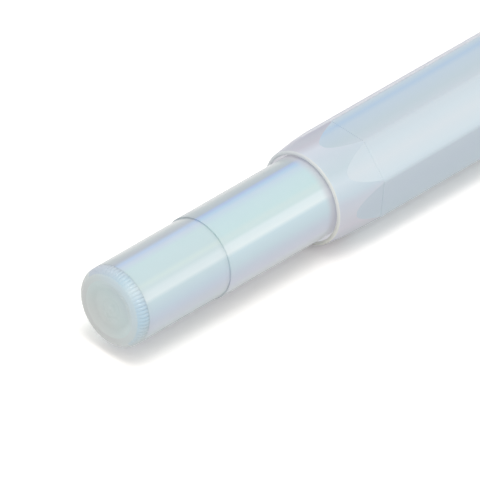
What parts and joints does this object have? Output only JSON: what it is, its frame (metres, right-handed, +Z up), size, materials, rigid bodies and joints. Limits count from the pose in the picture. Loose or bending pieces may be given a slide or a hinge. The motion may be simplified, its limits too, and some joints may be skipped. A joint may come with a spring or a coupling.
{
  "type": "lens cleaning pen",
  "caption": "Pocket lens cleaning pen with a sliding brush under an eight-sided cap and a tilting carbon tip under a turning rear cover.",
  "frame": {"origin": "under the middle of the closed pen, on the surface that its cap's lowest flat lies on", "axes": "+X along the pen from the ribbed rear knob to the cap's crown, +Z up, away from that flat"},
  "size_m": [0.1, 0.013, 0.0129],
  "materials": {
    "knob_plastic": "clear moulded plastic, polished, with fine ribs",
    "cover_plastic": "clear pearly plastic, polished",
    "barrel_plastic": "clear pearly plastic, polished",
    "cap_plastic": "milky pearly plastic, polished",
    "liner_plastic": "natural moulded plastic",
    "nozzle_plastic": "moulded plastic",
    "black_plastic": "fine moulded texture",
    "white_plastic": "natural acetal",
    "foam": "open-cell foam",
    "carbon_felt": "carbon-loaded felt",
    "chamois": "soft suede, darkened by carbon",
    "pin_steel": "ground",
    "spring_steel": "rolled strip",
    "ring_steel": "drawn wire",
    "ferrule_metal": "bright nickel plate",
    "bristle": "soft dark hair",
    "inlay_metal": "turned and satin"
  },
  "bodies": {
    "barrel": {"barrel_tube": "barrel_plastic", "nozzle": "nozzle_plastic", "tail_bush": "black_plastic", "tip_neck": "black_plastic", "tip_pivot_pin": "pin_steel"},
    "cap_ring": {"cap_grip_ring": "ring_steel"},
    "cap": {"cap_shell": "cap_plastic", "cap_liner": "liner_plastic", "crown_screw": "pin_steel", "crown_inlay": "inlay_metal"},
    "cover_ring": {"cover_grip_ring": "ring_steel"},
    "cover": {"rear_cover": "cover_plastic", "end_knob": "knob_plastic", "carbon_cup": "black_plastic", "carbon_foam": "foam", "carbon_felt": "carbon_felt"},
    "brush": {"brush_carriage": "white_plastic", "slider_button": "black_plastic", "slide_spring": "spring_steel", "brush_ferrule": "ferrule_metal", "ferrule_pin": "pin_steel", "brush_bristles": "bristle"},
    "tip_head": {"tip_cup": "black_plastic", "tip_foam": "foam", "tip_pad": "chamois"}
  },
  "joints": [
    {"name": "cap_turn", "type": "hinge", "parent": "barrel", "child": "cap_ring", "pos_m": [0.0011, 0, 0.00646], "axis": [1, 0, 0], "continuous": true},
    {"name": "cap_pull", "type": "slide", "parent": "cap_ring", "child": "cap", "axis": [1, 0, 0], "range_m": [0, 0.065]},
    {"name": "cover_turn", "type": "hinge", "parent": "barrel", "child": "cover_ring", "pos_m": [-0.036, 0, 0.00646], "axis": [1, 0, 0], "continuous": true},
    {"name": "cover_pull", "type": "slide", "parent": "cover_ring", "child": "cover", "axis": [-1, 0, 0], "range_m": [0, 0.022]},
    {"name": "brush_slide", "type": "slide", "parent": "barrel", "child": "brush", "axis": [1, 0, 0], "range_m": [0, 0.012]},
    {"name": "tip_tilt", "type": "hinge", "parent": "barrel", "child": "tip_head", "pos_m": [-0.0409, 0, 0.00646], "axis": [0, 1, 0], "range_deg": [-6, 6]}
  ]
}
